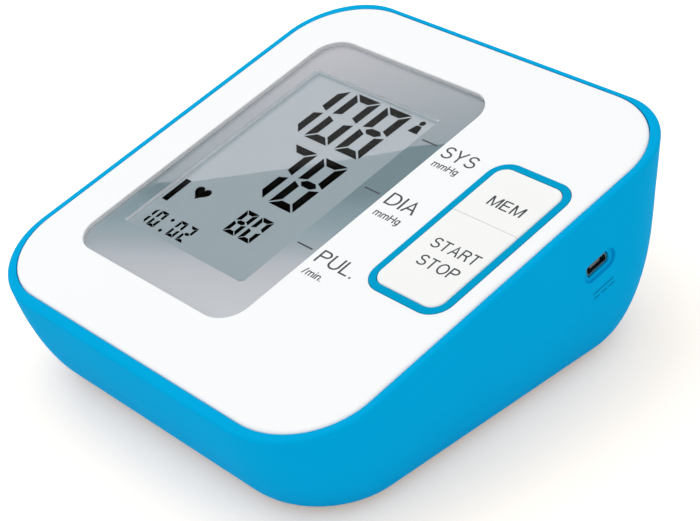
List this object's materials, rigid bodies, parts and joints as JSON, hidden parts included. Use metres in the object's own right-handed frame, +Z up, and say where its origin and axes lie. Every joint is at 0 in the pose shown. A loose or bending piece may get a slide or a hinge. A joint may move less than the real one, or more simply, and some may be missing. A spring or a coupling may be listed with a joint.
{
  "type": "blood pressure monitor",
  "caption": "Tabletop upper-arm blood pressure monitor: blue wedge casing, white sloped top panel with a large display window and two keys in a ring.",
  "frame": {"origin": "on the surface that the feet stand on, under the middle of the casing", "axes": "+Z up, +Y to the back, where the casing is tallest, +X to the user's right, where the keys and the mains inlet are"},
  "size_m": [0.1356, 0.1417, 0.0598],
  "materials": {
    "shell": "moulded blue ABS, fine satin texture",
    "panel": "moulded white ABS, fine satin texture",
    "bezel": "blue ABS",
    "keys": "white ABS, smooth",
    "plungers": "black nylon",
    "lens": "clear polycarbonate window, hard coated",
    "display": "liquid crystal display, grey-green",
    "gasket": "dark foam",
    "frame": "white ABS",
    "strips": "conductive and insulating silicone in layers",
    "board": "glass-epoxy laminate with green solder mask",
    "screws": "zinc-plated self-tapping screws",
    "component": "black moulded epoxy",
    "capacitor": "aluminium can with a printed sleeve",
    "leads": "tinned copper leads",
    "connector": "plated steel shell",
    "tongue": "black nylon",
    "door": "moulded blue ABS, fine satin texture",
    "cells": "steel can in a plain printed film jacket",
    "contacts": "nickel-plated spring steel",
    "motor": "zinc-plated steel can",
    "pump": "black moulded nylon",
    "sleeve": "black rubber",
    "socket": "grey moulded ABS",
    "fittings": "white moulded nylon",
    "tubes": "milky silicone tube",
    "valve": "pressed steel yoke",
    "coil": "enamelled copper winding on a bobbin",
    "sensor": "black moulded package",
    "wires": "insulated leads",
    "feet": "black rubber"
  },
  "bodies": {
    "case": {"lower_shell": "shell", "top_panel": "panel", "key_bezel": "bezel", "display_lens": "lens", "lcd_glass": "display", "lcd_gasket": "gasket", "lcd_holder": "frame", "zebra_strips": "strips", "main_board": "board", "board_screws": "screws", "case_screws": "screws", "controller_chip": "component", "buzzer": "component", "key_switches": "component", "capacitors": "capacitor", "chip_leads": "leads", "usb_shell": "connector", "usb_tongue": "tongue", "aa_cells": "cells", "battery_springs": "contacts", "contact_plates": "contacts", "pump_motor": "motor", "pump_head": "pump", "pump_sleeve": "sleeve", "socket_seal": "sleeve", "cuff_socket": "socket", "air_manifold": "fittings", "cuff_tube": "tubes", "pump_tube": "tubes", "valve_tube": "tubes", "sensor_tube": "tubes", "valve_frame": "valve", "valve_coil": "coil", "pressure_sensor": "sensor", "battery_wires": "wires", "pump_wires": "wires", "valve_wires": "wires", "feet": "feet"},
    "mem_key": {"mem_key": "keys", "mem_plunger": "plungers"},
    "start_stop_key": {"start_stop_key": "keys", "start_stop_plunger": "plungers"},
    "battery_door": {"battery_door": "door"}
  },
  "joints": [
    {"name": "mem_key_press", "type": "slide", "parent": "case", "child": "mem_key", "axis": [0, 0.1994, -0.9799], "range_m": [0, 0.0006], "stiffness_N_per_m": 2000},
    {"name": "start_stop_key_press", "type": "slide", "parent": "case", "child": "start_stop_key", "axis": [0, 0.1994, -0.9799], "range_m": [0, 0.0006], "stiffness_N_per_m": 2000},
    {"name": "battery_door_swing", "type": "hinge", "parent": "case", "child": "battery_door", "pos_m": [0, -0.03925, 0.0015], "axis": [-1, 0, 0], "range_deg": [0, 75]}
  ]
}
